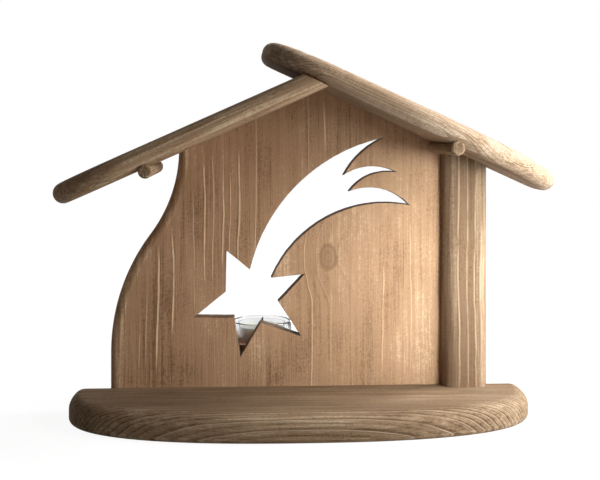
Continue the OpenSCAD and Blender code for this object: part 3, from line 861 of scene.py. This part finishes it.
def wall_ring(y, share, edge_round):
    """The wall's outline and comet at depth y: a share of the way in along both of their rounded edges."""
    outer = moved_in(outline, [edge_round * share if worn else 0.0 for worn in wavy])
    inner = moved_in(comet, [SAW_ROUND * share + nick for nick in saw_nicks])
    return [(x, y, z) for x, z in outer], [(x, y, z) for x, z in inner]


rings = [wall_ring(WALL_FRONT + FRONT_ROUND * (1 - up), share, FRONT_ROUND)
         for share, up in reversed(round_steps(1, FRONT_RINGS))]
rings += [wall_ring(WALL_BACK - BACK_ROUND * (1 - up), share, BACK_ROUND)
          for share, up in round_steps(1, BACK_RINGS)[1:]]

# %% Back wall
# How far the sawn faces are painted dark: saw burn and painted shade inside the cut.
SAW_BURN = 0.8
SAME_POINT = 1e-5


def inside(point, loop):
    """Whether a point lies inside a closed loop of 2-D points."""
    crossings = sum((a.y > point.y) != (b.y > point.y)
                    and point.x < (b.x - a.x) * (point.y - a.y) / (b.y - a.y) + a.x
                    for a, b in zip(loop, loop[1:] + loop[:1]))
    return crossings % 2 == 1


def loop_edges(start, count):
    return [(start + i, start + (i + 1) % count) for i in range(count)]


def fill_between(bm, outer, inner):
    """Fills a flat face of the wall from its outline to the comet's."""
    verts, count = outer + inner, len(outer)
    flat = [Vector((v.co.x, v.co.z)) for v in verts]
    edges = loop_edges(0, count) + loop_edges(count, len(inner))
    coords, _, faces, origins = delaunay_2d_cdt(flat, edges, [], 0, SAME_POINT)[:4]
    for face in faces:
        middle = sum((coords[k] for k in face), Vector((0, 0))) / len(face)
        if inside(middle, flat[:count]) and not inside(middle, flat[count:]):
            bm.faces.new([verts[origins[k][0]] for k in face])


bm = bmesh.new()
# The sawn comet faces carry a mark that paints them dark: saw burn and painted shade.
burnt = bm.faces.layers.float.new("burnt")
outer_rows = skinned(bm, [outer for outer, inner in rings])
unburnt = len(bm.faces)
inner_rows = skinned(bm, [inner for outer, inner in rings])
bm.faces.ensure_lookup_table()
for face in bm.faces[unburnt:]:
    face[burnt] = SAW_BURN
for end in (0, -1):
    fill_between(bm, outer_rows[end], inner_rows[end])
even_shading(piece_from(bm, "wall", wall_wood, "stable", "back_wall", slot="wall_wood"))

# %% [markdown]
# ### Corner post and round sticks
# The post is a board on edge whose two front edges are rounded wide. Its top follows the roof's slope. The
# sticks are turned: a profile of radius and height is spun about an axis.

# %% Corner post
POST_W, POST_T, POST_R, POST_STEPS = 35, 12, 10.5, 12

post_left, post_right, post_front = WALL_W / 2 - POST_W, WALL_W / 2, WALL_FRONT - POST_T
profile = arc_points((post_left + POST_R, post_front + POST_R), POST_R, 180, 270, POST_STEPS)
profile += arc_points((post_right - POST_R, post_front + POST_R), POST_R, 270, 360, POST_STEPS)
profile += [(post_right, WALL_FRONT), (post_left, WALL_FRONT)]
bm = lofted([[(x, y, BASE_T) for x, y in profile], [(x, y, roof_underside(x)) for x, y in profile]])
even_shading(piece_from(bm, "post", post_wood, "stable", "corner_post", slot="wall_wood"))

# %% Round sticks
STICK_R, STICK_SINK, STICK_SOFT, STICK_FACE_R = 5, 2.8, 1.7, 3.1
STICK_TURNS = 48


def turned(profile, turns):
    """A shape of revolution about z from (radius, height) points. Points on the axis close it."""
    bm = bmesh.new()
    around = [ring_points((0, 0), r, turns) if r else [(0, 0)] for r, z in profile]
    skinned(bm, [[(x, y, z) for x, y in points] for points, (r, z) in zip(around, profile)])
    return bm


def stick(name, pitch, along, length):
    """A round stick under a roof slope, with softened ends."""
    profile = [(0, 0), (STICK_FACE_R, 0)]
    profile += arc_points((STICK_R - STICK_SOFT, STICK_SOFT), STICK_SOFT, -90, 0, 5)
    profile += [(r, length - z) for r, z in reversed(profile)]
    bm = turned(profile, STICK_TURNS)
    under_slope = Matrix.Translation((along, ROOF_FRONT, STICK_SINK - STICK_R))
    place = on_slope(pitch) @ under_slope @ Matrix.Rotation(-QUARTER, 4, "X")
    bmesh.ops.transform(bm, matrix=place, verts=bm.verts)
    piece_from(bm, name, stick_wood, "stable", "roof_" + name, slot="stick_wood")


stick("stick_left", -LEFT_PITCH, -139, WALL_BACK - ROOF_FRONT)
stick("stick_right", RIGHT_PITCH, 99, WALL_FRONT - ROOF_FRONT)

# %% [markdown]
# ## Behind the comet: shelf, glass and tea light
# The glass, the cup and the wax are turned shapes too, each spun about the candle's axis. The shelf is half
# round, with a recess for the glass.

# %% Materials of the tea light
DARKER, SMOOTHER, ROUGHER = 0.82, 0.85, 1.15
CLOUDS = 60.0


def plain_material(name, colour, rough, bump_scale=0.0, bump=0.0, **values):
    """A finish of one material whose tone and surface vary a little."""
    material = bpy.data.materials.new(name)
    material.use_nodes = True
    tree = material.node_tree
    shader = tree.nodes["Principled BSDF"]
    coords = tree.nodes.new("ShaderNodeTexCoord").outputs["Object"]
    cloud = noise_node(tree, coords, CLOUDS, 3.0)
    tones = mix_colour(tree, cloud, (*(c * DARKER for c in colour), 1), (*colour, 1))
    wire(tree, tones, shader.inputs["Base Color"])
    gloss = smooth_range(tree, cloud, 0.2, 0.8, rough * SMOOTHER, min(1, rough * ROUGHER))
    wire(tree, gloss, shader.inputs["Roughness"])
    if bump:
        bumped = tree.nodes.new("ShaderNodeBump")
        set_inputs(bumped, Distance=bump)
        wire(tree, noise_node(tree, coords, bump_scale, 3.0), bumped.inputs["Height"])
        wire(tree, bumped.outputs[0], shader.inputs["Normal"])
    set_inputs(shader, **values)
    return material


glass = plain_material("clear_glass", (0.97, 0.985, 0.985), 0.03, Transmission_Weight=1.0, IOR=1.5)
cup_plastic = plain_material("cup_plastic", (0.98, 0.98, 0.98), 0.06, Transmission_Weight=1.0, IOR=1.3)
wax = plain_material("wax", (0.93, 0.86, 0.78), 0.42, 90.0, 0.0004, Subsurface_Weight=0.3)
burnt_wick = plain_material("burnt_wick", (0.06, 0.05, 0.045), 0.9, 2500.0, 0.0003)
pin_wood = wood_material("pin_wood", ((0.5, 0.34, 0.2), (0.32, 0.2, 0.11), (0.7, 0.52, 0.34)), turn=UPRIGHT,
                         Ring_Width=0.002, Pith_Across=0.2, Pith_Deep=0.1, Seed=61.0)
screw_steel = plain_material("screw_steel", (0.62, 0.58, 0.48), 0.32, 900.0, 0.00005, Metallic=1.0)
foot_metal = plain_material("foot_metal", (0.7, 0.7, 0.7), 0.3, 700.0, 0.00005, Metallic=1.0)

# %% Glass, cup, wax and wick
TEA_X, TEA_Y = -28, WALL_BACK + 7 + 24
GLASS_Z, GLASS_H, GLASS_FLOOR, GLASS_RIM_R = 39.3, 24, 3.5, 1
CANDLE_Z, CUP_FLOOR = GLASS_Z + GLASS_FLOOR, 0.6
TEA_TURNS = 96
WICK_R, WICK_SIDES = 0.9, 12


def spun(name, profile, z, material, body, node, slot):
    bm = turned(profile, TEA_TURNS)
    bmesh.ops.translate(bm, vec=(TEA_X, TEA_Y, z), verts=bm.verts)
    piece_from(bm, name, material, body, node, slot=slot)


glass_profile = [(0, 0.5), (18, 0.5), (19.5, 0), (22, 0), (23.4, 0.6), (24, 2)]
glass_profile += arc_points((23, GLASS_H - GLASS_RIM_R), GLASS_RIM_R, 0, 180, 9)
glass_profile += [(22, 5.5), (21, 4.1), (19.2, GLASS_FLOOR), (0, GLASS_FLOOR)]
cup_profile = [(0, 0), (18.2, 0), (19, 0.8), (19, 19), (18.4, 19), (18.4, 1.1), (18, CUP_FLOOR),
               (0, CUP_FLOOR)]
wax_profile = [(0, 0), (17.6, 0), (18.38, 0.7), (18.38, 15.4), (17.9, 15.1), (16.6, 14.9), (12, 14.7),
               (6, 14.5), (2.5, 14.6), (1.2, 15.0), (0, 15.0)]
spun("glass", glass_profile, GLASS_Z, glass, "glass", "candle_glass", "glass")
spun("cup", cup_profile, CANDLE_Z, cup_plastic, "tealight", "tealight_cup", "clear_cup")
spun("wax", wax_profile, CANDLE_Z + CUP_FLOOR, wax, "tealight", "tealight_wax", "wax")

wick_path = ((0, 0, 0.3, 1), (0, 0, 14.6, 1), (0.1, 0, 17, 1), (0.35, 0, 19.5, 0.95), (0.8, 0.1, 22.2, 0.6))
bm = lofted([[(px, py, CANDLE_Z + CUP_FLOOR + z)
              for px, py in ring_points((TEA_X + x, TEA_Y + y), WICK_R * share, WICK_SIDES)]
             for x, y, z, share in wick_path])
piece_from(bm, "wick", burnt_wick, "tealight", "tealight_wick", slot="wick")

# %% Shelf
SHELF_Z, SHELF_T, SHELF_R, RECESS_R, RECESS_DEEP = 49.3, 18, 32, 24.5, 10
SHELF_EASE, SHELF_EASE_STEPS, SHELF_STEPS, RECESS_TURNS = 1.5, 3, 36, 72


def shelf_ring(inset, z):
    """The shelf's outline at one height: half round behind, straight to the wall, moved in from its edge."""
    r = SHELF_R - inset
    plan = arc_points((TEA_X, TEA_Y), r, 0, 180, SHELF_STEPS) + [(TEA_X - r, WALL_BACK), (TEA_X + r, WALL_BACK)]
    return [(x, y, z) for x, y in plan]


bm = bmesh.new()
rows = skinned(bm, eased_loops(shelf_ring, SHELF_Z - SHELF_T, SHELF_Z, SHELF_EASE, SHELF_EASE_STEPS,
                               SHELF_EASE, SHELF_EASE_STEPS))
bm.faces.new(rows[0][::-1])
recess = []
for wider, down in ((0.7, 0), (0.2, 0.2), (0, 0.7), (0, RECESS_DEEP)):
    plan = ring_points((TEA_X, TEA_Y), RECESS_R + wider, RECESS_TURNS)
    recess.append([(x, y, SHELF_Z - down) for x, y in plan])
bm.faces.new(skinned(bm, recess)[-1])
bmesh.ops.triangle_fill(bm, use_beauty=True, edges=[e for e in bm.edges if e.is_boundary])
even_shading(piece_from(bm, "shelf", wall_wood, "stable", "candle_shelf", slot="wall_wood"))

# %% CAD nodes that stay
for material, nodes in ((screw_steel, ("base_screws", "post_screws")), (foot_metal, ("wick_foot",)),
                        (pin_wood, ("post_foot_pin", "roof_pins", "shelf_pins"))):
    for node in nodes:
        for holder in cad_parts[node].material_slots:
            holder.material = material
